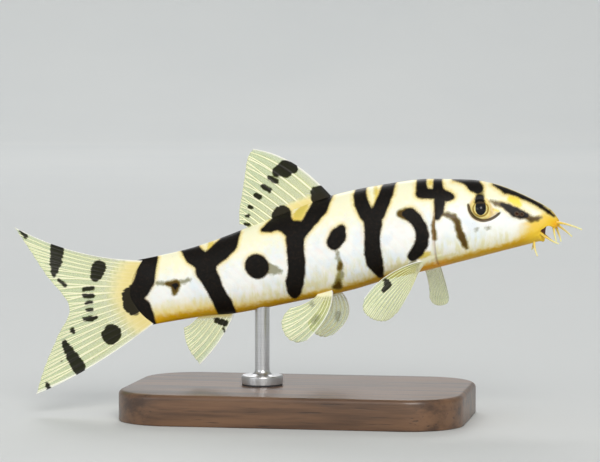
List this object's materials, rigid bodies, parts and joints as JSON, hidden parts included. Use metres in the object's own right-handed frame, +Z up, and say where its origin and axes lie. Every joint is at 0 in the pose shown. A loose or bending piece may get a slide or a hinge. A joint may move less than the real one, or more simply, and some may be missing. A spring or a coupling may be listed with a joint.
{
  "type": "yoyo loach model on a display stand",
  "caption": "Life-size still model of a slender freshwater loach with barred flanks, swimming head up, held by a short rod on a flat base.",
  "frame": {"origin": "centre of the underside of the stand's base", "axes": "+X towards the fish's head, -Y out of its right flank, +Z up"},
  "size_m": [0.0922, 0.034, 0.0435],
  "materials": {
    "skin": "moist, softly glossy fish skin, cream and silver with near-black bars",
    "fin": "thin clear fin membrane with pale rays and dark spots",
    "feeler": "soft yellow-orange barbel skin",
    "eye": "wet glossy eye, dark pupil with a golden ring",
    "wood": "dark stained wood with a satin lacquer",
    "steel": "satin steel"
  },
  "bodies": {
    "root": {"head": "skin", "trunk": "skin", "tail_stalk": "skin", "dorsal_fin": "fin", "anal_fin": "fin", "tail_fin": "fin", "pectoral_fin_left": "fin", "pectoral_fin_right": "fin", "pelvic_fin_left": "fin", "pelvic_fin_right": "fin", "barbel_rostral_outer_left": "feeler", "barbel_rostral_outer_right": "feeler", "barbel_rostral_inner_left": "feeler", "barbel_rostral_inner_right": "feeler", "barbel_maxillary_left": "feeler", "barbel_maxillary_right": "feeler", "barbel_mandibular_left": "feeler", "barbel_mandibular_right": "feeler", "eye_left": "eye", "eye_right": "eye", "stand_base": "wood", "stand_rod": "steel"}
  },
  "joints": []
}
